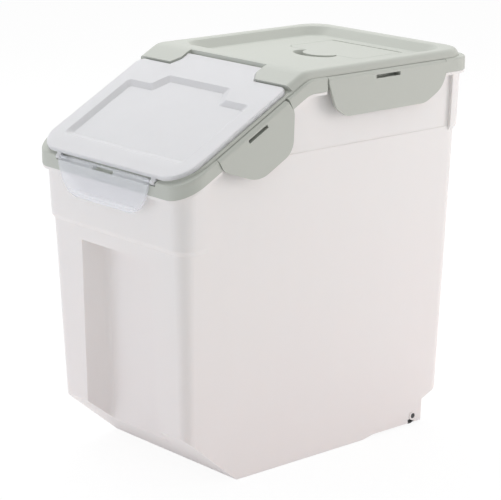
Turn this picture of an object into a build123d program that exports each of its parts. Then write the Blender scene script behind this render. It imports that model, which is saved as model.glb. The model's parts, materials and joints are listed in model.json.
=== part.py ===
from build123d import *
import os
from math import atan2, ceil, cos, degrees, radians, sin, tan

# Lidded bin for dry pet food, in millimetres.
# +Z is up, the slanted pouring end faces -Y, and the origin is under the middle of the base.

# Outline of the main lid's band
lid_width = 234.5
lid_depth = 380.0
band_corner_radius = 25.5
band_height = 13.5
crease_height = 387.0
front_drop = 83.0
slope_run = 154.5
bend_radius = 25.0

# Raised rim of the main lid, and the shallow tray inside it
rim_rise = 7.6
rim_inset = 3.6
rim_corner_radius = 30.0
rim_rounding = 7.2
band_rounding = 2.0
lid_skin = 2.5
tray_margin = 17.0
tray_slope = 14.0
tray_depth = 9.5
tray_front_margin = 14.0
tray_corner_radius = 14.0
tray_ease = 2.5
tray_ease_drop = 0.9

# Tub walls, given where they would meet the crease height
side_overhang = 8.45
front_overhang = 3.4
rear_overhang = 7.6
side_draft = 1.98
front_draft = 2.67
rear_draft = 1.66
tub_wall = 2.4
tub_top_radius = 15.5
tub_base_radius = 10.0

# Collar round the front and rear corners of the tub
collar_proud = 3.0
collar_taper = 5.0
front_collar_height = 241.3
rear_collar_height = 316.0
front_collar_length = 38.5
rear_collar_length = 25.5
side_ledge = 0.6

# Base of the tub, seen from the side
chamfer_height = 54.5
chamfer_run = 64.6
foot_rear_margin = 126.0
foot_step_run = 14.6
foot_step_rise = 2.8
housing_rear_margin = 42.0
housing_height = 26.0
housing_rounding = 2.5
rear_chamfer_rise = 10.0
rear_chamfer_run = 24.0

# Rim of the tub: a flange under the band, and a lip that stands up into the lid
rim_gap = 0.3
flange_thickness = 2.6
flange_inset = 0.4
lip_side_inset = 9.6
lip_end_inset = 8.0
lip_thickness = 2.2
lip_corner_radius = 17.0
lip_top_drop = 6.0

# Channel in the lid for the tub's lip and its seal
channel_gap = 0.8
skirt_thickness = 2.0
skirt_depth = 11.0
seal_height = 3.4
seal_lip_gap = 0.1

# Grip recess in the front wall
grip_width_bottom = 116.8
grip_width_top = 104.0
grip_depth = 22.6
grip_lean = 10.8
grip_top = 223.0
grip_corner_radius = 7.0

# Slanted frame, pouring opening and flip lid, measured along the slope from the bend
frame_rise = 2.0
frame_start = 30.0
frame_root_drop = 4.0
block_length = 22.0
block_gap = 1.4
opening_half_width = 98.0
opening_rear = 50.0
opening_front_margin = 17.5
opening_radius = 12.0
notch_half_width = 58.0
notch_rear = 32.0
notch_overlap = 30.0
flip_inset = 7.2
flip_front_inset = 3.0
flip_rise = 6.3
flip_skin = 2.2
flip_frame_gap = 0.2
flip_skirt = 2.0
flip_edge_rounding = 1.4
flip_front_radius = 28.0
flip_rear_radius = 8.5
tongue_half_width = 55.6
tongue_flare = 7.0
tongue_straight = 8.0
tongue_flare_gap = 0.5
tongue_gap = 0.9
flip_hinge_back = 5.0
flip_barrel_radius = 3.2
flip_pin_radius = 1.5
flip_pin_grip = 7.0
flip_open_angle = 120.0
panel_half_width = 91.0
panel_front = 150.0
panel_rear = 57.0
panel_depth = 3.6
panel_slope = 6.0
panel_radius = 9.0
panel_step_half_width = 46.0
panel_step_rear = 40.0
panel_step_run = 10.0
flip_seal_width = 3.5
flip_seal_offset = 2.0
seal_seat_gap = 0.05

# Latches
latch_gap = 0.6
latch_thickness = 2.4
latch_barrel_radius = 4.0
latch_pin_radius = 1.25
latch_pin_grip = 6.0
latch_axis_inset = 2.8
latch_top_gap = 0.2
latch_flare = 1.0
latch_hook_front = 24.0
latch_hook_rear = 34.0
latch_hook_root = 0.8
latch_hook_reach = 4.6
latch_hook_height = 3.0
latch_hook_gap = 1.6
flange_hook_gap = 0.5
running_gap = 0.08
slot_height = 3.6
slot_drop = 2.0
latch_brow_height = 2.0
rear_latch_front = 22.5
rear_latch_length = 160.0
rear_latch_drop = 35.5
rear_latch_rake = 22.0
rear_latch_brow = 9.0
rear_latch_tail = 30.0
rear_latch_heel = 4.0
rear_latch_heel_height = 22.0
rear_latch_radius = 26.0
rear_slot_length = 32.7
rear_slot_back = 78.5
slope_latch_rear = 32.0
slope_latch_length = 97.0
slope_latch_drop = 42.0
slope_latch_rake = 30.0
slope_latch_brow = 9.0
slope_latch_tail = 19.5
slope_latch_heel_height = 10.0
slope_latch_cut = 2.0
slope_latch_radius = 30.0
slope_slot_length = 26.0
slope_slot_back = 50.5

# Clear latch on the front edge of the flip lid
front_latch_half_width = 69.0
front_latch_drop = 34.0
front_latch_taper = 11.0
front_latch_corner_radius = 30.0
front_latch_shoulder_drop = 2.5
front_latch_thickness = 2.2
front_latch_standoff = 1.0
front_latch_barrel_radius = 2.6
front_latch_pin_radius = 1.2
front_latch_pin_grip = 6.0
front_latch_hinge_setback = 0.9
front_latch_hinge_drop = 7.3
front_latch_pin_depth = 9.0
front_slot_half_width = 15.5
front_slot_rise = 0.9
front_slot_height = 3.5
pull_half_width = 50.0
pull_radius = 2.4
pull_drop = 29.0
catch_half_width = 14.5
catch_height = 2.0
catch_drop = 9.0
catch_gap = 0.2
catch_play = 1.0

# Moisture absorber compartment in the lid's tray
cover_half_width = 51.5
cover_rear_margin = 38.5
cover_length = 63.5
cover_thickness = 2.2
cover_gap = 0.4
cover_rest_gap = 0.1
cover_corner_radius = 8.0
cover_barrel_radius = 2.1
cover_pin_radius = 0.9
cover_pin_grip = 5.0
tab_half_width = 22.0
tab_length = 18.0
tab_root = 2.0
scoop_half_width = 27.0
scoop_front = 9.0
scoop_back = 10.0
scoop_depth = 8.0
scoop_floor_width = 0.8
scoop_floor_length = 0.7
scoop_skin = 2.0
compartment_wall = 8.0
compartment_pad = 9.5
cup_ledge = 3.5
cup_clearance = 0.3
cup_flange = 1.5
cup_wall = 1.6
cup_depth = 24.0
cup_slot_width = 3.0
cup_slot_pitch = 8.0
cup_slot_share = 0.7
cover_seal_height = 1.4
cover_seal_inset = 0.4

# Wheels in wells under the rear corners
wheel_radius = 10.0
wheel_width = 13.0
wheel_gap = 1.0
wheel_rounding = 1.2
tread_thickness = 2.4
hub_thickness = 1.5
wheel_groove = 1.6
wheel_rear_margin = 54.4
axle_radius = 2.9
boss_radius = 4.6
boss_proud = 0.8
well_clearance = 1.8
axle_recess = 0.4
window_rim = 1.0
window_drop = 3.2
window_front = 6.5
window_rear = 2.5

# Reach of cutting solids past the part and past a face, and how far off the bent line an edge may lie
far = 600.0
past = 5.0
pick_margin = 1.2
seat_fall = 0.2
mouth_back = 10.0

# Places worked out from the sizes above
half_width = lid_width / 2
half_depth = lid_depth / 2
bend_y = slope_run - half_depth
slope = atan2(front_drop, slope_run)
slope_deg = degrees(slope)
slope_length = slope_run / cos(slope)
rim_top = crease_height + rim_rise
rim_ahead = rim_rise * tan(slope / 2)
tray_floor = rim_top - tray_depth
cover_front = half_depth - cover_rear_margin - cover_length
wheel_y = half_depth - wheel_rear_margin
housing_rear = half_depth - housing_rear_margin
foot_rear = half_depth - foot_rear_margin
slope_plane = Plane(
    origin=(0, bend_y, crease_height), x_dir=(1, 0, 0), z_dir=(0, -sin(slope), cos(slope))
)


def on_slope(s, n):
    """Y and Z of a point s along the slope from the bend (front is negative), n above it."""
    return (
        bend_y + s * cos(slope) - n * sin(slope),
        crease_height + s * sin(slope) + n * cos(slope),
    )


def under_bend(lift, ahead=0.0):
    """Everything below the lid's bent line, moved up by lift and forward by ahead."""
    z_flat = crease_height + lift
    y = bend_y - ahead
    front_z = z_flat - (far / 2) * tan(slope)
    line = FilletPolyline((y + far / 2, z_flat), (y, z_flat), (y - far / 2, front_z), radius=bend_radius)
    sides = Polyline((y - far / 2, front_z), (y - far / 2, -far), (y + far / 2, -far), (y + far / 2, z_flat))
    return extrude(Plane.YZ * make_face([line, sides]), amount=far / 2, both=True)


def under_rim_top():
    """Everything below the rim's top, which stands square to the band's top all along the bent line."""
    return under_bend(rim_rise, rim_ahead)


def upper_edges(shape, lift, ahead=0.0):
    """Edges of a shape that lie on the bent line moved up by lift and forward by ahead."""
    sag = (bend_radius / cos(slope / 2) - bend_radius) * pick_margin

    def lies_on_line(edge):
        spot = edge.center()
        line = crease_height + lift - max(0, bend_y - ahead - spot.Y) * tan(slope)
        return abs(spot.Z - line) < sag

    return [edge for edge in shape.edges() if lies_on_line(edge)]


def column(inset_side, inset_end, radius, z_low=-10.0, z_high=far):
    """Upright column with the lid's outline, drawn in from the band's sides and ends."""
    outline = RectangleRounded(lid_width - 2 * inset_side, lid_depth - 2 * inset_end, radius)
    return extrude(Pos(0, 0, z_low) * outline, amount=z_high - z_low)


def box_between(low, high):
    """Box from one corner to the opposite one."""
    size = [b - a for a, b in zip(low, high)]
    centre = [(a + b) / 2 for a, b in zip(low, high)]
    return Pos(*centre) * Box(*size)


def cylinder_x(radius, x_low, x_high, y, z):
    """Cylinder along X."""
    return Pos((x_low + x_high) / 2, y, z) * Rot(0, 90, 0) * Cylinder(radius, x_high - x_low)


def mirrored(shape):
    """Copy on the other side of the middle plane."""
    return mirror(shape, about=Plane.YZ)


def tub_walls(z):
    """Half width, front Y and rear Y of the tub's walls at a height."""
    below = crease_height - z
    return (
        half_width - side_overhang - below * tan(radians(side_draft)),
        -(half_depth - front_overhang - below * tan(radians(front_draft))),
        half_depth - rear_overhang - below * tan(radians(rear_draft)),
    )


def tub_section(z, grow):
    """Outline of the tub at a height, moved outwards by grow."""
    wide, front, rear = tub_walls(z)
    radius = tub_base_radius + (tub_top_radius - tub_base_radius) * z / crease_height
    outline = RectangleRounded(2 * (wide + grow), rear - front + 2 * grow, radius + grow)
    return Pos(0, (front + rear) / 2, z) * outline


def tub_column(z_low, z_high, grow, grow_low=None):
    """Drafted column with the tub's outline."""
    first = grow if grow_low is None else grow_low
    return loft([tub_section(z_low, first), tub_section(z_high, grow)], ruled=True)


def side_profile(shrink):
    """Tub seen from the side: front chamfer, foot, wheel housing and rear chamfer."""
    front_y = tub_walls(chamfer_height)[1]
    rear_y = tub_walls(housing_height)[2]
    rise = chamfer_height / chamfer_run
    rear_rise = rear_chamfer_rise / rear_chamfer_run
    reach = far / 2
    points = [
        (front_y - reach, chamfer_height + reach * rise),
        (front_y + chamfer_run, 0),
        (foot_rear, 0),
        (foot_rear + foot_step_run, foot_step_rise),
        (housing_rear, foot_step_rise),
        (housing_rear, housing_height),
        (rear_y + reach, housing_height + (rear_y + reach - housing_rear) * rear_rise),
        (rear_y + reach, far),
        (front_y - reach, far),
    ]
    face = make_face(Polyline(*points, close=True))
    if shrink:
        face = offset(face, amount=-shrink, kind=Kind.INTERSECTION)
    return extrude(Plane.YZ * face, amount=far / 2, both=True)


def housing_corner():
    """What rounds off the lower rear corner of the wheel housing."""
    y = housing_rear - housing_rounding
    z = foot_step_rise + housing_rounding
    square = box_between((-far / 2, y, foot_step_rise - past), (far / 2, housing_rear + past, z))
    return square - cylinder_x(housing_rounding, -far, far, y, z)


def collar(grow):
    """Proud band round the tub's front and rear corners; grow is the wall still to take off."""
    out = collar_proud - grow
    top = crease_height
    front = tub_column(front_collar_height + grow, top, out)
    front += tub_column(front_collar_height - collar_taper + grow, front_collar_height + grow, out, -grow)
    rear = tub_column(rear_collar_height + grow, top, out)
    rear += tub_column(rear_collar_height - collar_taper + grow, rear_collar_height + grow, out, -grow)
    y_front = -half_depth + front_collar_length - grow
    y_rear = half_depth - rear_collar_length + grow
    front &= box_between((-far, -far, 0), (far, y_front, far))
    rear &= box_between((-far, y_rear, 0), (far, far, far))
    return front + rear


def grip_section(z, grow):
    """Plan of the grip recess at a height, with its side walls leaning in towards the back."""
    front_y = tub_walls(z)[1]
    share = z / grip_top
    wide = (grip_width_bottom + (grip_width_top - grip_width_bottom) * share) / 2 + grow
    spill = 2 * collar_proud
    points = [
        (-wide - grip_lean * spill / grip_depth, front_y - spill),
        (-wide + grip_lean, front_y + grip_depth + grow),
        (wide - grip_lean, front_y + grip_depth + grow),
        (wide + grip_lean * spill / grip_depth, front_y - spill),
    ]
    path = FilletPolyline(*points, radius=grip_corner_radius + grow)
    return Pos(0, 0, z) * make_face([path, Line(points[3], points[0])])


def grip_recess(grow):
    """Upright hand channel in the front wall, open at the bottom into the chamfer."""
    return loft([grip_section(-5, grow), grip_section(grip_top + grow, grow)], ruled=True)


# The side latches: where each hinge line starts, and which way it runs
latch_axis_drop = latch_barrel_radius + latch_top_gap
latch_x = half_width - latch_axis_inset
rear_latch_y = bend_y + rear_latch_front
rear_latch_frame = Plane(
    origin=(latch_x, rear_latch_y, crease_height - latch_axis_drop), x_dir=(0, 1, 0), z_dir=(1, 0, 0)
)
slope_axis_y, slope_axis_z = on_slope(-slope_latch_rear - slope_latch_length, -latch_axis_drop)
slope_latch_frame = Plane(
    origin=(latch_x, slope_axis_y, slope_axis_z), x_dir=(0, cos(slope), sin(slope)), z_dir=(1, 0, 0)
)
flange_edge = latch_x - latch_hook_reach + latch_barrel_radius - latch_thickness - flange_hook_gap


def rear_latch_outline():
    """Rear side latch laid flat: front edge raked back, large rear corner."""
    top = latch_barrel_radius
    low = -rear_latch_drop
    length = rear_latch_length
    rear = length - rear_latch_heel
    points = [
        (0, top), (0, -latch_brow_height), (rear_latch_brow, low + rear_latch_brow), (rear_latch_rake, low),
        (length - rear_latch_tail, low), (rear, -rear_latch_heel_height), (length, -top), (length, top),
    ]
    soft = rear_latch_radius
    path = FilletPolyline(*points, radius=[soft / 6, soft / 2, soft / 2, soft, soft, soft / 3])
    return make_face([path, Line(points[-1], points[0])])


def slope_latch_outline():
    """Latch on the slope laid flat: a deep round belly under a straight hinge line."""
    top = latch_barrel_radius
    low = -slope_latch_drop
    length = slope_latch_length
    points = [
        (0, top), (0, -slope_latch_brow), (slope_latch_rake, low), (length - slope_latch_tail, low),
        (length, -slope_latch_heel_height), (length - slope_latch_cut, top),
    ]
    soft = slope_latch_radius
    path = FilletPolyline(*points, radius=[soft / 2, soft, soft / 1.5, soft / 3])
    return make_face([path, Line(points[-1], points[0])])


def latch_solid(outline, length, drop, slot_length, slot_back):
    """Latch in its own frame: X along the hinge, Y up, Z away from the tub."""
    outer = latch_barrel_radius
    inner = outer - latch_thickness
    low = -2 * drop
    side = make_face(
        Polyline(
            (0, outer), (low, outer + 2 * latch_flare), (low, inner + 2 * latch_flare), (0, inner), close=True
        )
    )
    hook_top = -(band_height + rim_gap + flange_thickness - latch_axis_drop) - latch_hook_gap
    hook_low = hook_top - latch_hook_height
    root = inner + latch_hook_root
    tip = inner - latch_hook_reach
    hook = make_face(
        Polyline(
            (hook_top, root), (hook_top, tip), (hook_top - latch_hook_height / 2, tip), (hook_low, root),
            close=True,
        )
    )
    across = Plane(origin=(0, 0, 0), x_dir=(0, 1, 0), z_dir=(1, 0, 0))
    body = extrude(across * (side + Circle(outer)), amount=length)
    body &= extrude(outline, amount=far / 4, both=True)
    body += Pos(latch_hook_front, 0, 0) * extrude(
        across * hook, amount=length - latch_hook_front - latch_hook_rear
    )
    body -= Pos(length / 2, 0, 0) * Rot(0, 90, 0) * Cylinder(latch_pin_radius + running_gap, 2 * length)
    slot = Box(slot_length, slot_height, 4 * latch_barrel_radius)
    return body - Pos(slot_back, -slot_drop, latch_barrel_radius) * slot


def latch_pocket(length):
    """Room in the band for a latch, its barrel and its swing, open upwards outside the rim."""
    depth = latch_barrel_radius + latch_gap
    room = box_between((-latch_gap, -far / 6, -depth), (length + latch_gap, latch_axis_drop, far / 6))
    rim_side = latch_axis_inset - rim_inset
    return room + box_between((-latch_gap, 0, rim_side), (length + latch_gap, far / 6, far / 6))


def latch_pin(length):
    """Steel hinge pin, held in the band past both ends of the latch."""
    reach = latch_gap + latch_pin_grip
    pin = Cylinder(latch_pin_radius, length + 2 * reach)
    return Pos(length / 2, 0, 0) * Rot(0, 90, 0) * pin


def make_tub():
    """Drafted tub with collar, grip recess, rim, and wells for the wheels."""
    flange_top = -(band_height + rim_gap)
    outside = (tub_column(0, crease_height, 0) + collar(0)) & under_bend(flange_top - flange_thickness / 2)
    ledge = box_between(
        (-far, -half_depth + front_collar_length, rear_collar_height),
        (far, half_depth - rear_collar_length, far),
    )
    ledge -= tub_column(0, crease_height + 50, -side_ledge)
    outside -= ledge
    outside &= side_profile(0)
    outside -= housing_corner()
    inside = tub_column(0, crease_height, -tub_wall - side_ledge) + collar(tub_wall)
    inside &= under_bend(flange_top - flange_thickness / 2)
    inside &= side_profile(tub_wall)
    inside -= grip_recess(tub_wall)
    well = wheel_well(0)
    inside -= wheel_well(tub_wall)
    inside -= mirrored(wheel_well(tub_wall))
    rim = column(flange_inset, flange_inset, band_corner_radius) & under_bend(flange_top)
    rim -= under_bend(flange_top - flange_thickness)
    rim += lip_ring(0, 0) & (under_bend(-lip_top_drop) - under_bend(flange_top - flange_thickness))
    mouth = lip_inside(0)
    rim -= mouth
    for frame, length in latch_places:
        notch = Pos(0, 0, flange_edge - latch_x) * box_between(
            (-2 * latch_gap, -far / 6, 0), (length + 2 * latch_gap, 0, far / 6)
        )
        rim -= frame.location * notch
        rim -= mirrored(frame.location * notch)
    tub = outside - inside - grip_recess(0) + rim
    tub -= mouth & (under_bend(0) - under_bend(flange_top - 2 * flange_thickness))
    tub -= well + mirrored(well)
    wall_x = tub_walls(wheel_radius)[0]
    boss = cylinder_x(boss_radius, wall_x - tub_wall, wall_x + boss_proud, wheel_y, wheel_radius)
    inside_x = wall_x - 2 * tub_wall
    window = cylinder_x(wheel_radius - window_rim, inside_x, wall_x + past, wheel_y, wheel_radius)
    window &= box_between(
        (0, wheel_y - window_front, -past), (far, wheel_y + window_rear, wheel_radius - window_drop)
    )
    window -= cylinder_x(boss_radius, 0, far, wheel_y, wheel_radius)
    axle = cylinder_x(axle_radius, axle_inner_x(), wall_x + past, wheel_y, wheel_radius)
    for copy in (lambda shape: shape, mirrored):
        tub += copy(boss)
        tub -= copy(window)
        tub -= copy(axle)
    return tub


def wheel_outer_x():
    """Outer face of a wheel, just inside the tub's side wall."""
    return tub_walls(wheel_radius)[0] - tub_wall - wheel_gap


def wheel_inner_x():
    """Inner face of a wheel."""
    return wheel_outer_x() - wheel_width


def axle_inner_x():
    """Inner end of a wheel's axle, in the well's inner wall."""
    return wheel_inner_x() - wheel_gap - tub_wall + axle_recess


def wheel_well(grow):
    """Pocket over a wheel, open downwards."""
    inner = wheel_inner_x() - wheel_gap
    outer = wheel_outer_x() + wheel_gap
    reach = wheel_radius + well_clearance
    return box_between(
        (inner - grow, wheel_y - reach - grow, -past),
        (outer + grow, min(wheel_y + reach, housing_rear - tub_wall) + grow, wheel_radius + reach + grow),
    )


def lip_ring(grow_in, grow_out):
    """Ring with the plan of the tub's lip, thickened inwards and outwards."""
    outer = column(lip_side_inset - grow_out, lip_end_inset - grow_out, lip_corner_radius + grow_out)
    return outer - lip_inside(-grow_in)


def lip_inside(grow):
    """Column inside the tub's lip."""
    inset = lip_thickness - grow
    return column(lip_side_inset + inset, lip_end_inset + inset, lip_corner_radius - inset)


def slope_box(x_half, s_low, s_high, n_low, n_high):
    """Box lying on the slope, across the middle."""
    return slope_plane.location * box_between((-x_half, s_low, n_low), (x_half, s_high, n_high))


def flip_axis():
    """Y and Z of the flip lid's hinge line."""
    return on_slope(-flip_hinge_back, flip_rise - flip_barrel_radius)


def opening_outline(grow):
    """Pouring opening in the slope's plane, with a notch towards the hinge."""
    front = -slope_length + opening_front_margin
    main = Pos(0, (front - opening_rear) / 2) * RectangleRounded(
        2 * opening_half_width, -opening_rear - front, opening_radius
    )
    notch = Pos(0, -(notch_rear + opening_rear + notch_overlap) / 2) * RectangleRounded(
        2 * notch_half_width, opening_rear - notch_rear + notch_overlap, opening_radius / 2
    )
    outline = main + notch
    if grow:
        outline = offset(outline, amount=grow)
    return outline


def flip_outline():
    """Flip lid in the slope's plane: a rounded sheet with a hinge tongue at the back."""
    wide = half_width - flip_inset
    rear = -block_length - block_gap
    front = -slope_length + flip_front_inset
    root = tongue_half_width + tongue_flare
    flare = -flip_hinge_back - tongue_straight
    points = [
        (-tongue_half_width, -flip_hinge_back), (-tongue_half_width, flare),
        (-root, rear), (-wide, rear), (-wide, front), (wide, front), (wide, rear), (root, rear),
        (tongue_half_width, flare), (tongue_half_width, -flip_hinge_back),
    ]
    radii = [2, 2, flip_rear_radius, flip_front_radius, flip_front_radius, flip_rear_radius, 2, 2]
    path = FilletPolyline(*points, radius=radii)
    return make_face([path, Line(points[-1], points[0])])


def panel_outline(inset):
    """Sunk panel of the flip lid, stepped towards the hinge."""
    wide = panel_half_width - inset
    step = panel_step_half_width - inset
    rear = -panel_rear - inset
    top = -panel_step_rear - inset
    points = [
        (-wide, -panel_front + inset), (wide, -panel_front + inset), (wide, rear),
        (step + panel_step_run, rear), (step, top), (-step, top), (-step - panel_step_run, rear),
        (-wide, rear),
    ]
    return fillet(make_face(Polyline(*points, close=True)).vertices(), panel_radius / 2)


def flip_seat():
    """Room that the main lid leaves for the flip lid, its tongue and its swing."""
    seat = slope_box(far / 4, -far / 2, -block_length, frame_rise, far / 6)
    root = tongue_half_width + tongue_flare + tongue_gap
    tongue = tongue_half_width + tongue_gap
    flare = -flip_hinge_back - tongue_straight + tongue_flare_gap
    mouth = make_face(
        Polyline(
            (-root, -block_length - past), (-root, -block_length), (-tongue, flare), (-tongue, mouth_back),
            (tongue, mouth_back), (tongue, flare), (root, -block_length), (root, -block_length - past),
            close=True,
        )
    )
    y, z = flip_axis()
    reach = flip_barrel_radius + tongue_gap
    lean = radians(flip_open_angle - 90 - slope_deg)
    stop = reach / cos(lean)
    low = z - reach
    profile = make_face(
        Polyline(
            (y - far / 8, low - far / 8 * tan(slope)), (y - reach, low - seat_fall), (y, low),
            (y + stop, z), (y + stop + far / 8 * tan(lean), z + far / 8), (y - far / 8, z + far / 8),
            close=True,
        )
    )
    swing = extrude(Plane.YZ * profile, amount=far / 4, both=True)
    swing += cylinder_x(reach, -far / 4, far / 4, y, z)
    frame = slope_box(far / 4, -far / 2, -flip_hinge_back - reach, frame_rise - far / 4, frame_rise)
    prism = slope_plane.location * extrude(mouth, amount=far / 8, both=True)
    return seat + (prism & (swing - frame))


def tray_section(drop, inset, grow):
    """Plan of the lid's shallow tray, at a depth under the rim's top."""
    wide = half_width - tray_margin - inset + grow
    front = bend_y + tray_front_margin + inset - grow
    rear = half_depth - tray_margin - inset + grow
    outline = RectangleRounded(2 * wide, rear - front, tray_corner_radius + tray_slope - inset)
    return Pos(0, (front + rear) / 2, rim_top - drop) * outline


def lid_tray(grow):
    """Shallow tray whose sides ease out of the rim and into the floor; grow gives its skin's outside."""
    low = tray_section(tray_depth + grow, tray_slope, grow)
    low_side = tray_section(tray_depth - tray_ease_drop + grow, tray_slope - tray_ease, grow)
    high_side = tray_section(tray_ease_drop + grow, tray_ease, grow)
    edge = tray_section(grow, 0, grow)
    tray = loft([low, low_side], ruled=True) + loft([low_side, high_side], ruled=True)
    tray += loft([high_side, edge], ruled=True)
    if grow:
        return tray
    return tray + extrude(edge, amount=far / 20)


def cover_plan(grow):
    """Absorber cover seen from above, with its thumb tab."""
    rear = cover_front + cover_length
    plate = Pos(0, (cover_front + rear) / 2) * RectangleRounded(
        2 * (cover_half_width + grow), cover_length + 2 * grow, cover_corner_radius
    )
    tab = Pos(0, cover_front + tab_root) * Ellipse(tab_half_width + grow, tab_length + tab_root + grow)
    return plate + tab


def cover_axis():
    """Y and Z of the absorber cover's hinge line."""
    return cover_front + cover_length - cover_barrel_radius, tray_floor - cover_barrel_radius


def scoop(grow):
    """Finger scoop in front of the cover's tab."""
    centre_y = cover_front - scoop_back
    deep = tab_length + scoop_front - scoop_back
    top = Pos(0, centre_y, tray_floor + cover_rest_gap) * Ellipse(scoop_half_width + grow, deep + grow)
    low = Pos(0, centre_y, tray_floor - scoop_depth - grow) * Ellipse(
        scoop_half_width * scoop_floor_width + grow, deep * scoop_floor_length + grow
    )
    return loft([low, top], ruled=True)


def cup_plan(grow):
    """Absorber cup seen from above."""
    front = cover_front + 2 * cup_ledge
    rear = cover_axis()[0] - 2 * cover_barrel_radius - cup_ledge
    wide = cover_half_width - 2 * cup_ledge
    return Pos(0, (front + rear) / 2) * RectangleRounded(
        2 * (wide + grow), rear - front + 2 * grow, cover_corner_radius / 2
    )


cover_low = tray_floor - cover_thickness
cup_flange_low = cover_low - cover_seal_height - cup_flange


def make_main_lid():
    """Band, raised rim with tray, slanted frame with the pouring opening, and seal channel."""
    band = column(0, 0, band_corner_radius) & under_bend(0)
    band = fillet(upper_edges(band, 0), band_rounding)
    rim = column(rim_inset, rim_inset, rim_corner_radius) & under_rim_top()
    rim = fillet(upper_edges(rim, rim_rise, rim_ahead), rim_rounding)
    lid = (band + rim) - under_bend(-band_height)
    hollow = lip_inside(-channel_gap - skirt_thickness)
    flat = hollow & under_bend(rim_rise - lid_skin)
    tray_front = bend_y + tray_front_margin
    flat &= box_between((-far, tray_front, 0), (far, far, far))
    sloped = hollow & under_bend(-frame_root_drop) & box_between((-far, -far, 0), (far, tray_front, far))
    thin = hollow & under_bend(frame_rise - lid_skin)
    sloped += thin & box_between((-far, -far, 0), (far, bend_y - frame_start, far))
    lid -= flat + sloped
    channel = lip_ring(channel_gap, channel_gap) & under_bend(seal_height - lip_top_drop + seal_lip_gap)
    lid -= channel
    lid -= lip_ring(channel_gap + skirt_thickness, 0) & under_bend(-skirt_depth)
    pad_low = tray_floor - compartment_pad
    pad = Pos(0, cover_front + cover_length / 2, pad_low) * extrude(
        RectangleRounded(
            2 * (cover_half_width + compartment_wall),
            cover_length + 2 * compartment_wall,
            cover_corner_radius,
        ),
        amount=compartment_pad,
    )
    lid += lid_tray(lid_skin) & hollow
    lid += pad
    lid += scoop(scoop_skin)
    lid -= lid_tray(0)
    lid -= scoop(0)
    lid -= extrude(Pos(0, 0, cover_low - cover_rest_gap) * cover_plan(cover_gap), amount=far / 20)
    lid -= extrude(Pos(0, 0, cup_flange_low) * cup_plan(cup_ledge), amount=far / 20)
    lid -= extrude(Pos(0, 0, pad_low - past) * cup_plan(0), amount=far / 20)
    y, z = cover_axis()
    reach = cover_half_width + cover_gap
    lid -= cylinder_x(cover_barrel_radius + cover_gap, -reach, reach, y, z)
    lid -= box_between((-reach, y, z), (reach, cover_front + cover_length + cover_gap, far))
    lid -= cylinder_x(cover_pin_radius, -reach - cover_pin_grip, reach + cover_pin_grip, y, z)
    lid -= flip_seat()
    lid -= slope_plane.location * extrude(opening_outline(0), amount=far / 12, both=True)
    y, z = flip_axis()
    pin = tongue_half_width + tongue_gap + flip_pin_grip
    lid -= cylinder_x(flip_pin_radius, -pin, pin, y, z)
    for frame, length in latch_places:
        for copy in (lambda shape: shape, mirrored):
            lid -= copy(frame.location * latch_pocket(length))
            lid -= copy(frame.location * latch_pin(length))
    lid -= front_latch_room()
    return lid + front_catch()


def front_latch_room():
    """Notches in the band's front edge for the front latch's barrel and for the flip lid's ears."""
    y, z = front_latch_axis()
    room = front_latch_barrel_radius + latch_gap
    wide = front_latch_half_width + front_latch_pin_grip + 2 * latch_gap
    notch = cylinder_x(room, -wide, wide, y, z)
    notch += box_between((-wide, -far, z - room), (wide, y, z + far / 20))
    ear_rear = -slope_length + flip_front_inset + flip_skirt + latch_gap
    ear_room = slope_box(wide, -far / 2, ear_rear, flip_rise - front_latch_hinge_drop, far / 20)
    ear_room &= box_between((front_latch_half_width, -far, 0), (wide, far, far))
    return notch + ear_room + mirrored(ear_room)


def front_catch():
    """Small ledge on the band's front that the front latch's ridge snaps under."""
    y, z = front_latch_axis()
    low = (-catch_half_width, -half_depth - front_latch_standoff + catch_gap, z - catch_drop)
    high = (catch_half_width, -half_depth + catch_height / 2, z - catch_drop + catch_height)
    return box_between(low, high)


def make_main_seal():
    """Soft seal in the lid's channel, on top of the tub's lip."""
    low = -lip_top_drop + seal_lip_gap
    return lip_ring(channel_gap, channel_gap) & (under_bend(low + seal_height) - under_bend(low))


def front_latch_axis():
    """Y and Z of the hinge line on the flip lid's front edge."""
    return on_slope(-slope_length + front_latch_hinge_setback, flip_rise - front_latch_hinge_drop)


def make_flip_lid():
    """Thin frosted sheet with a skirt, a sunk panel, a hinge barrel and two ears for the front latch."""
    outline = flip_outline()
    skin_low = flip_rise - flip_skin
    skirt_low = frame_rise + flip_frame_gap
    sheet = extrude(Pos(0, 0, skirt_low) * outline, amount=flip_rise - skirt_low)
    sheet = fillet(sheet.faces().sort_by(Axis.Z)[-1].edges(), flip_edge_rounding)
    inner = offset(outline, amount=-flip_skirt, kind=Kind.INTERSECTION)
    inner -= Pos(0, -flip_hinge_back) * Rectangle(far / 2, 2 * flip_barrel_radius + flip_skirt)
    sheet -= extrude(Pos(0, 0, skirt_low - past) * inner, amount=skin_low - skirt_low + past)
    low = flip_rise - panel_depth
    sheet += loft(
        [Pos(0, 0, low - flip_skin) * panel_outline(panel_slope - flip_skin),
         Pos(0, 0, skin_low + flip_skin / 2) * panel_outline(-flip_skin)],
        ruled=True,
    )
    sheet -= loft(
        [Pos(0, 0, low) * panel_outline(panel_slope), Pos(0, 0, flip_rise) * panel_outline(0)], ruled=True
    )
    barrel_n = flip_rise - flip_barrel_radius
    barrel = Rot(0, 90, 0) * Cylinder(flip_barrel_radius, 2 * tongue_half_width)
    sheet += Pos(0, -flip_hinge_back, barrel_n) * barrel
    pin = Rot(0, 90, 0) * Cylinder(flip_pin_radius + running_gap, 4 * tongue_half_width)
    sheet -= Pos(0, -flip_hinge_back, barrel_n) * pin
    ear = flip_ear()
    return slope_plane.location * (sheet + ear + mirrored(ear))


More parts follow.
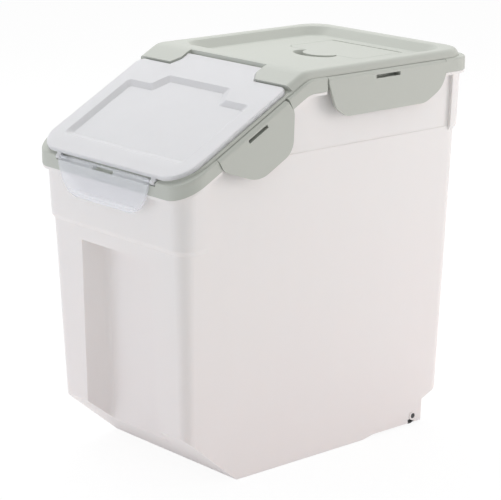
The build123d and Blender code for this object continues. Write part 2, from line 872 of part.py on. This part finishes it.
def flip_ear():
    """Ear under the flip lid's front skirt, in the slope's frame, bored for one of the front latch's pins."""
    s = -slope_length + front_latch_hinge_setback
    n = flip_rise - front_latch_hinge_drop
    front = -slope_length + flip_front_inset
    radius = front_latch_barrel_radius
    top = frame_rise + flip_frame_gap + flip_skirt / 2
    web = make_face(
        Polyline((s - radius, n), (front, top), (front + flip_skirt, top), (s + radius, n), close=True)
    )
    section = (web + Pos(s, n) * Circle(radius)) - Pos(s, n) * Circle(front_latch_pin_radius)
    low = front_latch_half_width + latch_gap
    return Pos(low, 0, 0) * extrude(Plane.YZ * section, amount=front_latch_pin_grip)


def make_flip_seal():
    """Soft seal under the flip lid, round the pouring opening."""
    ring = opening_outline(flip_seal_offset + flip_seal_width) - opening_outline(flip_seal_offset)
    low = frame_rise + seal_seat_gap
    top = flip_rise - flip_skin
    return slope_plane.location * extrude(Pos(0, 0, low) * ring, amount=top - low)


def make_front_latch():
    """Clear latch: barrel under the flip lid's front edge, plate over the band, pull bead below."""
    y, z = front_latch_axis()
    face_y = -half_depth - front_latch_standoff
    out_y = face_y - front_latch_thickness
    radius = front_latch_barrel_radius
    low = z - front_latch_drop
    shoulder = z - front_latch_shoulder_drop
    profile = make_face(
        Polyline(
            (y, z + radius), (out_y, shoulder), (out_y, low), (face_y, low), (face_y, z - radius),
            (y, z - radius), close=True,
        )
    )
    wide = front_latch_half_width
    body = extrude(Plane.YZ * profile, amount=wide, both=True)
    body += cylinder_x(radius, -wide, wide, y, z)
    narrow = wide - front_latch_taper
    kink = z - 2 * radius
    top = z + 2 * radius
    points = [(-wide, top), (-wide, kink), (-narrow, low), (narrow, low), (wide, kink), (wide, top)]
    soft = front_latch_corner_radius
    path = FilletPolyline(*points, radius=[soft / 3, soft, soft, soft / 3])
    front = make_face([path, Line(points[-1], points[0])])
    body &= extrude(Plane.XZ * front, amount=far, both=True)
    bead_y = out_y + pull_radius / 4
    bead = cylinder_x(pull_radius, -pull_half_width, pull_half_width, bead_y, z - pull_drop)
    for end in (-pull_half_width, pull_half_width):
        bead += Pos(end, bead_y, z - pull_drop) * Sphere(pull_radius)
    body += bead - box_between((-far, face_y, 0), (far, far, far))
    ridge_top = z - catch_drop - catch_play
    body += box_between(
        (-catch_half_width, face_y - front_latch_thickness / 4, ridge_top - catch_height),
        (catch_half_width, -half_depth - catch_gap, ridge_top),
    )
    body -= box_between(
        (-front_slot_half_width, -far, z + front_slot_rise - front_slot_height),
        (front_slot_half_width, far, z + front_slot_rise),
    )
    bore = wide - front_latch_pin_depth
    hole = cylinder_x(front_latch_pin_radius + running_gap, bore, far, y, z)
    return body - hole - mirrored(hole)


def make_cover():
    """Flush cover over the absorber cup, with a thumb tab and a hinge barrel."""
    y, z = cover_axis()
    plate = extrude(Pos(0, 0, cover_low) * cover_plan(0), amount=cover_thickness)
    plate -= box_between((-far, y, 0), (far, far, far))
    plate += cylinder_x(cover_barrel_radius, -cover_half_width, cover_half_width, y, z)
    return plate - cylinder_x(cover_pin_radius + running_gap, -far, far, y, z)


def make_cup():
    """Cup for the moisture absorber, slotted at the bottom and hung from its flange."""
    flange = extrude(Pos(0, 0, cup_flange_low) * cup_plan(cup_ledge - cup_clearance), amount=cup_flange)
    low = cup_flange_low - cup_depth
    body = extrude(Pos(0, 0, low) * cup_plan(-cup_clearance), amount=cup_depth)
    hollow = Pos(0, 0, low + cup_wall) * cup_plan(-cup_clearance - cup_wall)
    cup = flange + body - extrude(hollow, amount=far / 10)
    span = cover_half_width - 2 * cup_ledge - cup_slot_pitch
    count = ceil(2 * span / cup_slot_pitch)
    front = cover_front + 2 * cup_ledge
    rear = cover_axis()[0] - 2 * cover_barrel_radius - cup_ledge
    for k in range(count):
        x = (k - (count - 1) / 2) * cup_slot_pitch
        slot = Box(cup_slot_width, cup_slot_share * (rear - front), 4 * cup_wall)
        cup -= Pos(x, (front + rear) / 2, low) * slot
    return cup


def make_cover_seal():
    """Thin seal ring between the cup's flange and the cover."""
    ring = cup_plan(cup_ledge - cup_clearance) - cup_plan(cover_seal_inset)
    return extrude(Pos(0, 0, cup_flange_low + cup_flange) * ring, amount=cover_seal_height)


def make_wheel():
    """Small solid wheel with rounded tread edges and a bore."""
    wheel = Cylinder(wheel_radius, wheel_width)
    wheel = fillet(wheel.edges(), wheel_rounding)
    wheel -= Cylinder(axle_radius + running_gap, 2 * wheel_width)
    for face in (-1, 1):
        groove = Cylinder(wheel_radius - tread_thickness, wheel_groove)
        groove -= Cylinder(axle_radius + hub_thickness, wheel_groove)
        wheel -= Pos(0, 0, face * wheel_width / 2) * groove
    centre_x = wheel_outer_x() - wheel_width / 2
    return Pos(centre_x, wheel_y, wheel_radius) * Rot(0, 90, 0) * wheel


def make_axle():
    """Short steel axle through the side wall's boss and the well's inner wall."""
    high = tub_walls(wheel_radius)[0] + boss_proud - axle_recess
    return cylinder_x(axle_radius, axle_inner_x(), high, wheel_y, wheel_radius)


latch_places = [(rear_latch_frame, rear_latch_length), (slope_latch_frame, slope_latch_length)]


def save(name, shape):
    """Write one node."""
    export_step(shape, f"parts/{name}.step")


def build():
    """Make every node and write it."""
    os.makedirs("parts", exist_ok=True)
    save("tub", make_tub())
    save("main_lid", make_main_lid())
    save("main_lid_seal", make_main_seal())
    save("flip_lid", make_flip_lid())
    save("flip_lid_seal", make_flip_seal())
    y, z = flip_axis()
    low = tongue_half_width - flip_pin_grip
    high = tongue_half_width + tongue_gap + flip_pin_grip
    pin = cylinder_x(flip_pin_radius, low, high, y, z)
    save("flip_lid_pin_right", pin)
    save("flip_lid_pin_left", mirrored(pin))
    save("front_latch", make_front_latch())
    y, z = front_latch_axis()
    low = front_latch_half_width - front_latch_pin_depth
    high = front_latch_half_width + latch_gap + front_latch_pin_grip
    pin = cylinder_x(front_latch_pin_radius, low, high, y, z)
    save("front_latch_pin_right", pin)
    save("front_latch_pin_left", mirrored(pin))
    rear = latch_solid(
        rear_latch_outline(), rear_latch_length, rear_latch_drop, rear_slot_length, rear_slot_back
    )
    slanted = latch_solid(
        slope_latch_outline(), slope_latch_length, slope_latch_drop, slope_slot_length, slope_slot_back
    )
    for place, flat_latch, (frame, length) in zip(("rear", "slope"), (rear, slanted), latch_places):
        latch = frame.location * flat_latch
        pin = frame.location * latch_pin(length)
        save(f"{place}_latch_right", latch)
        save(f"{place}_latch_left", mirrored(latch))
        save(f"{place}_latch_pin_right", pin)
        save(f"{place}_latch_pin_left", mirrored(pin))
    save("absorber_cover", make_cover())
    y, z = cover_axis()
    reach = cover_half_width + cover_gap + cover_pin_grip
    save("absorber_cover_pin", cylinder_x(cover_pin_radius, -reach, reach, y, z))
    save("absorber_cup", make_cup())
    save("absorber_seal", make_cover_seal())
    wheel, axle = make_wheel(), make_axle()
    save("wheel_right", wheel)
    save("wheel_left", mirrored(wheel))
    save("wheel_axle_right", axle)
    save("wheel_axle_left", mirrored(axle))


build()
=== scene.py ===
import json

import bpy
import numpy as np
from mathutils import Matrix, Vector


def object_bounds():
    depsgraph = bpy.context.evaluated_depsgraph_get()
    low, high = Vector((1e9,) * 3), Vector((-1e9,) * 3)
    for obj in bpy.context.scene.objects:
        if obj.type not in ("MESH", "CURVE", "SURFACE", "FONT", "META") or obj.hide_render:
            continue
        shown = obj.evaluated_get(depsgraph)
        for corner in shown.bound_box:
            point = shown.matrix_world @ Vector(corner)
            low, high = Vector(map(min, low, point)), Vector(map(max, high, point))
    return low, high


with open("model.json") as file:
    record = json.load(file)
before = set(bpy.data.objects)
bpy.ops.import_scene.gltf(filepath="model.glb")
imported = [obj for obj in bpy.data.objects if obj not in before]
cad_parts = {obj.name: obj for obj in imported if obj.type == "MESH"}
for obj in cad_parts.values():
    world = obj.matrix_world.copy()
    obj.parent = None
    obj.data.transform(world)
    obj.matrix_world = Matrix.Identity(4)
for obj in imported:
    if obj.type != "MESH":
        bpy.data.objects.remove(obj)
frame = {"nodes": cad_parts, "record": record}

cad_box = [list(map(float, corner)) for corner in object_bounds()]
nodes = frame["nodes"]
bin_height = cad_box[1][2] - cad_box[0][2]

# The photograph's viewpoint: angles in degrees, places in metres, lens and sensor in millimetres
view_azimuth = 48.67
view_elevation = 15.0
view_roll = 0.38
view_distance = 2.05627
view_right = -0.004845
view_up = 0.01153
view_target = (0.0, 0.0, 0.1805)
view_lens = 145.78
view_sensor = 36.0
view_near = 0.1
view_far = 50.0

# Studio light: an even white room, a wide softbox above and behind the bin, and a fill at its left and its
# right as the camera sees it, in metres and watts
lamp_white = (1.0, 1.0, 1.0)
room_white = (1.0, 1.0, 1.0, 1.0)
room_light = 0.64
room_seen = 1.0
softbox_power = 17.5
softbox_size = 1.6
softbox_height = 1.9
softbox_behind = 0.9
softbox_left = 0.25
fill_distance = 2.0
fill_size = 1.0
left_fill_power = 9.5
left_fill_height = 0.2
left_fill_colour = (0.87, 0.89, 1.0)
right_fill_power = 11.5
right_fill_height = 0.5
right_fill_colour = (1.0, 0.93, 0.93)
floor_half_size = 6.0
floor_lines = 9
floor_colour = (0.94, 0.94, 0.94, 1.0)
floor_glow = 1.03
floor_whiteness = 0.88

# Plastics, rubber and steel, as linear colours
tub_white = (0.86, 0.84, 0.825, 1.0)
tub_blush = (0.88, 0.81, 0.80, 1.0)
tub_streak = (0.76, 0.74, 0.72, 1.0)
sage = (0.50, 0.52, 0.475, 1.0)
sage_pale = (0.53, 0.55, 0.505, 1.0)
frost = (0.90, 0.90, 0.92, 1.0)
frost_thick = (0.86, 0.865, 0.885, 1.0)
clear_blue = (0.93, 0.95, 1.0, 1.0)
clear_haze = (0.88, 0.90, 0.96, 1.0)
cup_white = (0.82, 0.82, 0.80, 1.0)
cup_cloud = (0.79, 0.79, 0.77, 1.0)
seal_grey = (0.74, 0.74, 0.72, 1.0)
seal_bloom = (0.80, 0.80, 0.785, 1.0)
wheel_black = (0.022, 0.022, 0.024, 1.0)
wheel_scuff = (0.06, 0.06, 0.062, 1.0)
steel = (0.56, 0.57, 0.58, 1.0)
steel_dark = (0.38, 0.39, 0.40, 1.0)
plastic_ior = 1.49

# The tub's blush, as shares of the bin's height: full below the first and gone above the second
blush_full = 0.1
blush_gone = 0.75


class Signal:
    """A shader socket that takes part in sums and products; each operator adds one Math node."""

    def __init__(self, recipe, socket):
        self.recipe = recipe
        self.socket = socket

    def combine(self, operation, first, second):
        return self.recipe.node("ShaderNodeMath", {"operation": operation}, {0: first, 1: second})

    def __add__(self, other):
        return self.combine("ADD", self, other)

    def __radd__(self, other):
        return self.combine("ADD", other, self)

    def __rsub__(self, other):
        return self.combine("SUBTRACT", other, self)

    def __mul__(self, other):
        return self.combine("MULTIPLY", self, other)


class Recipe:
    """A material in the making: node() adds any node, and surface() wires the shader."""

    def __init__(self, name):
        self.material = bpy.data.materials.new(name)
        self.material.use_nodes = True
        self.tree = self.material.node_tree
        self.tree.nodes.clear()
        self.place = self.node("ShaderNodeTexCoord", out="Object")

    def node(self, kind, settings=None, inputs=None, out=0):
        """Add a node with its settings first and its sockets' values or links next, and give one output."""
        made = self.tree.nodes.new(kind)
        for key, value in (settings or {}).items():
            setattr(made, key, value)
        for key, value in (inputs or {}).items():
            if isinstance(value, Signal):
                self.tree.links.new(value.socket, made.inputs[key])
            else:
                made.inputs[key].default_value = value
        return Signal(self, made.outputs[out])

    def clouds(self, size, detail=2.0, stretch=(1.0, 1.0, 1.0)):
        """Soft noise from 0 to 1, its blotches about size metres across and drawn out by a small stretch."""
        scaled = self.node("ShaderNodeVectorMath", {"operation": "MULTIPLY"}, {0: self.place, 1: stretch})
        inputs = {"Vector": scaled, "Scale": 1.0 / size, "Detail": detail}
        return self.node("ShaderNodeTexNoise", None, inputs)

    def between(self, low, high, mask):
        """Mask stretched so that low becomes 0 and high becomes 1, and no further."""
        limits = {"Value": mask, "From Min": low, "From Max": high}
        return self.node("ShaderNodeMapRange", {"clamp": True}, limits)

    def mix(self, mask, first, second):
        """Colour from first to second as the mask goes from 0 to 1, by the node's colour sockets."""
        return self.node("ShaderNodeMix", {"data_type": "RGBA"}, {0: mask, 6: first, 7: second}, out=2)

    def height(self):
        """Height above the floor, in metres."""
        return self.node("ShaderNodeSeparateXYZ", None, {0: self.place}, out="Z")

    def surface(self, constants, varying, grain, grain_depth):
        """Principled shader with its constants, its varying sockets and a bump of grain_depth metres."""
        bump = self.node("ShaderNodeBump", None, {"Strength": 1.0, "Distance": grain_depth, "Height": grain})
        shader = self.node("ShaderNodeBsdfPrincipled", None, {**constants, **varying, "Normal": bump})
        self.node_output(shader)
        return self.material

    def node_output(self, shader):
        """Wire a finished shader to the material's output."""
        output = self.tree.nodes.new("ShaderNodeOutputMaterial")
        self.tree.links.new(shader.socket, output.inputs["Surface"])


def tub_plastic():
    """Milky warm white polypropylene: faint cloudiness, a blush low down, satin skin with a fine grain."""
    blush_share = 0.6
    cloud_share = 0.3
    streak_share = 0.10
    smoothest = 0.36
    flow_roughness = 0.08
    grain_roughness = 0.06
    cloud_bump = 2
    recipe = Recipe("tub_plastic")
    cloud = recipe.clouds(size=0.11, detail=3.0)
    flow = recipe.clouds(size=0.02, stretch=(1.0, 1.0, 0.12))
    grain = recipe.clouds(size=0.0011)
    low = 1 - recipe.between(blush_full * bin_height, blush_gone * bin_height, recipe.height())
    tone = recipe.mix(low * blush_share + cloud * cloud_share, tub_white, tub_blush)
    streaked = recipe.mix(flow * streak_share, tone, tub_streak)
    constants = {
        "Subsurface Weight": 0.22, "Subsurface Radius": (0.006, 0.005, 0.0045), "Subsurface Scale": 1.0,
        "IOR": plastic_ior, "Specular IOR Level": 0.35,
    }
    varying = {
        "Base Color": streaked,
        "Roughness": smoothest + flow * flow_roughness + grain * grain_roughness,
    }
    return recipe.surface(constants, varying, grain + cloud * cloud_bump, grain_depth=0.00002)


def sage_plastic():
    """Grey-green moulded plastic: fine matt spark-eroded grain, barely clouded colour."""
    cloud_share = 0.6
    speck_share = 0.25
    smoothest = 0.46
    grain_roughness = 0.10
    cloud_roughness = 0.05
    recipe = Recipe("sage_plastic")
    cloud = recipe.clouds(size=0.05, detail=3.0)
    grain = recipe.clouds(size=0.0009)
    speck = recipe.between(low=0.55, high=0.75, mask=recipe.clouds(size=0.0016, detail=1.0))
    varying = {
        "Base Color": recipe.mix(cloud * cloud_share + speck * speck_share, sage, sage_pale),
        "Roughness": smoothest + grain * grain_roughness + cloud * cloud_roughness,
    }
    constants = {"IOR": plastic_ior, "Specular IOR Level": 0.4}
    return recipe.surface(constants, varying, grain, grain_depth=0.00003)


def frosted_plastic():
    """Frosted see-through sheet: light passes and is scattered by an etched skin."""
    cloud_share = 0.7
    smoothest = 0.42
    grain_roughness = 0.10
    recipe = Recipe("frosted_plastic")
    cloud = recipe.clouds(size=0.03)
    grain = recipe.clouds(size=0.0008)
    varying = {
        "Base Color": recipe.mix(cloud * cloud_share, frost, frost_thick),
        "Roughness": smoothest + grain * grain_roughness,
    }
    constants = {
        "Transmission Weight": 0.30, "IOR": 1.40,
        "Subsurface Weight": 0.35, "Subsurface Radius": (0.006, 0.006, 0.006), "Subsurface Scale": 1.0,
    }
    return recipe.surface(constants, varying, grain, grain_depth=0.00002)


def clear_plastic():
    """Milky clear plastic with a faint blue cast and a few soft ripples from the mould."""
    haze_share = 0.5
    smoothest = 0.08
    haze_roughness = 0.08
    recipe = Recipe("clear_plastic")
    ripple = recipe.clouds(size=0.012, detail=1.0)
    haze = recipe.clouds(size=0.02, detail=3.0)
    varying = {
        "Base Color": recipe.mix(haze * haze_share, clear_blue, clear_haze),
        "Roughness": smoothest + haze * haze_roughness,
    }
    constants = {"Alpha": 0.36, "Transmission Weight": 0.1, "IOR": 1.45}
    return recipe.surface(constants, varying, ripple, grain_depth=0.00005)


def white_plastic():
    """Plain white moulded plastic for the cup."""
    cloud_share = 0.5
    smoothest = 0.4
    grain_roughness = 0.1
    recipe = Recipe("white_plastic")
    grain = recipe.clouds(size=0.001)
    cloud = recipe.clouds(size=0.02)
    varying = {
        "Base Color": recipe.mix(cloud * cloud_share, cup_white, cup_cloud),
        "Roughness": smoothest + grain * grain_roughness,
    }
    return recipe.surface({"IOR": plastic_ior}, varying, grain, grain_depth=0.00002)


def seal_rubber():
    """Soft matt seal rubber with a dusting of mould bloom."""
    smoothest = 0.62
    bloom_roughness = 0.15
    recipe = Recipe("seal_rubber")
    bloom = recipe.clouds(size=0.004, detail=3.0)
    varying = {
        "Base Color": recipe.mix(bloom, seal_grey, seal_bloom),
        "Roughness": smoothest + bloom * bloom_roughness,
    }
    return recipe.surface({"Specular IOR Level": 0.3}, varying, bloom, grain_depth=0.00004)


def wheel_plastic():
    """Near-black hard plastic, scuffed grey where it has rolled."""
    scuff_share = 0.6
    smoothest = 0.38
    scuff_roughness = 0.3
    recipe = Recipe("wheel_plastic")
    scuff = recipe.between(low=0.52, high=0.75, mask=recipe.clouds(size=0.003, detail=4.0))
    varying = {
        "Base Color": recipe.mix(scuff * scuff_share, wheel_black, wheel_scuff),
        "Roughness": smoothest + scuff * scuff_roughness,
    }
    return recipe.surface({"IOR": plastic_ior}, varying, scuff, grain_depth=0.00006)


def pin_steel():
    """Drawn steel wire: fine lines along X and a little tarnish."""
    smoothest = 0.28
    line_roughness = 0.18
    recipe = Recipe("pin_steel")
    lines = recipe.clouds(size=0.0006, stretch=(0.04, 1.0, 1.0))
    tarnish = recipe.between(low=0.45, high=0.8, mask=recipe.clouds(size=0.006, detail=3.0))
    varying = {
        "Base Color": recipe.mix(tarnish, steel, steel_dark),
        "Roughness": smoothest + lines * line_roughness,
    }
    return recipe.surface({"Metallic": 1.0}, varying, lines, grain_depth=0.00001)


def axle_steel():
    """Blackened steel: dark oxide, rubbed paler in small patches."""
    rubbed_share = 0.5
    smoothest = 0.36
    rubbed_roughness = 0.2
    recipe = Recipe("axle_steel")
    rubbed = recipe.between(low=0.5, high=0.8, mask=recipe.clouds(size=0.002, detail=3.0))
    varying = {
        "Base Color": recipe.mix(rubbed * rubbed_share, wheel_black, wheel_scuff),
        "Roughness": smoothest + rubbed * rubbed_roughness,
    }
    return recipe.surface({"IOR": 1.6}, varying, rubbed, grain_depth=0.00002)


def dress_nodes():
    """Give every CAD node the material of its slot."""
    finishes = {
        make.__name__: make()
        for make in (tub_plastic, sage_plastic, frosted_plastic, clear_plastic, white_plastic, seal_rubber,
                     wheel_plastic, pin_steel, axle_steel)
    }
    for entry in frame["record"]["subparts"]:
        for slot in nodes[entry["node"]].material_slots:
            slot.material = finishes[entry["material_slot"]]


def view_axes():
    """Directions towards the camera, to its right and up its picture."""
    azimuth, elevation, roll = np.radians([view_azimuth, view_elevation, view_roll])
    back = np.array([
        np.sin(azimuth) * np.cos(elevation), -np.cos(azimuth) * np.cos(elevation), np.sin(elevation)
    ])
    level = np.array([np.cos(azimuth), np.sin(azimuth), 0.0])
    upright = np.cross(back, level)
    return back, np.cos(roll) * level + np.sin(roll) * upright, np.cos(roll) * upright - np.sin(roll) * level


def set_pose(thing, right, up, back, spot):
    """Turn and place an object by its own three axes."""
    matrix = Matrix.Identity(4)
    for column, axis in enumerate((right, up, back)):
        for row in range(3):
            matrix[row][column] = float(axis[row])
    matrix.translation = Vector(spot.tolist())
    thing.matrix_world = matrix


def place_camera():
    """Camera on a sphere round the target, rolled about its line of sight and slid in its own plane."""
    back, right, up = view_axes()
    spot = np.array(view_target) + back * view_distance + right * view_right + up * view_up
    data = bpy.data.cameras.new("camera")
    data.lens = view_lens
    data.sensor_width = view_sensor
    data.clip_start = view_near
    data.clip_end = view_far
    camera = bpy.data.objects.new("camera", data)
    set_pose(camera, right, up, back, spot)
    bpy.context.scene.collection.objects.link(camera)
    bpy.context.scene.camera = camera


def add_softbox(name, spot, size, power, colour):
    """Square area lamp at a spot, facing the middle of the bin, with level sides unless it is overhead."""
    overhead = 0.9
    lamp = bpy.data.lights.new(name, "AREA")
    lamp.energy = power
    lamp.color = colour
    lamp.size = size
    softbox = bpy.data.objects.new(name, lamp)
    back = np.array(spot) - np.array([0.0, 0.0, bin_height / 2])
    back /= np.linalg.norm(back)
    helper = np.array([0.0, 1.0, 0.0]) if abs(back[2]) > overhead else np.array([0.0, 0.0, 1.0])
    right = np.cross(helper, back)
    right /= np.linalg.norm(right)
    set_pose(softbox, right, np.cross(back, right), back, np.array(spot))
    bpy.context.scene.collection.objects.link(softbox)


def light_studio():
    """Softbox above and behind the bin, and a fill at each side of it, square to the camera's line."""
    back, right, _ = view_axes()
    above = np.array([0.0, 0.0, 1.0])
    behind = above * softbox_height - back * softbox_behind - right * softbox_left
    add_softbox("softbox", behind, softbox_size, softbox_power, lamp_white)
    left = above * left_fill_height - right * fill_distance
    add_softbox("left_fill", left, fill_size, left_fill_power, left_fill_colour)
    beside = above * right_fill_height + right * fill_distance
    add_softbox("right_fill", beside, fill_size, right_fill_power, right_fill_colour)


def seen_directly(tree):
    """Mask that is 1 for what the camera sees, directly, in a reflection or through clear plastic."""
    path = tree.nodes.new("ShaderNodeLightPath")
    seen = path.outputs["Is Camera Ray"]
    for name in ("Is Glossy Ray", "Is Transmission Ray"):
        larger = tree.nodes.new("ShaderNodeMath")
        larger.operation = "MAXIMUM"
        tree.links.new(seen, larger.inputs[0])
        tree.links.new(path.outputs[name], larger.inputs[1])
        seen = larger.outputs[0]
    return seen


def paint_room():
    """Even white surroundings that look pure white to the camera and light the bin more softly."""
    world = bpy.data.worlds.new("studio")
    world.use_nodes = True
    tree = world.node_tree
    background = tree.nodes["Background"]
    background.inputs["Color"].default_value = room_white
    strength = tree.nodes.new("ShaderNodeMapRange")
    strength.inputs["To Min"].default_value = room_light
    strength.inputs["To Max"].default_value = room_seen
    tree.links.new(seen_directly(tree), strength.inputs["Value"])
    tree.links.new(strength.outputs[0], background.inputs["Strength"])
    bpy.context.scene.world = world


def lay_floor():
    """Wide level floor: a square grid at height zero, its lines evenly spaced over the whole size each way.

    The camera sees it white but for the bin's shadow.
    """
    line = np.linspace(-floor_half_size, floor_half_size, floor_lines)
    x, y = np.meshgrid(line, line)
    points = np.stack([x, y, np.zeros_like(x)], axis=-1).reshape(-1, 3)
    index = np.arange(floor_lines * floor_lines).reshape(floor_lines, floor_lines)
    corners = [index[:-1, :-1], index[:-1, 1:], index[1:, 1:], index[1:, :-1]]
    faces = np.stack(corners, axis=-1).reshape(-1, 4)
    mesh = bpy.data.meshes.new("floor")
    mesh.from_pydata(points.tolist(), [], faces.tolist())
    floor = bpy.data.objects.new("floor", mesh)
    bpy.context.scene.collection.objects.link(floor)
    recipe = Recipe("floor_white")
    matt = recipe.node("ShaderNodeBsdfDiffuse", None, {"Color": floor_colour})
    glow = recipe.node("ShaderNodeEmission", None, {"Strength": floor_glow})
    seen = Signal(recipe, seen_directly(recipe.tree))
    both = recipe.node("ShaderNodeMixShader", None, {0: seen * floor_whiteness, 1: matt, 2: glow})
    recipe.node_output(both)
    mesh.materials.append(recipe.material)


dress_nodes()
place_camera()
light_studio()
paint_room()
lay_floor()
bpy.context.scene.view_settings.view_transform = "Standard"
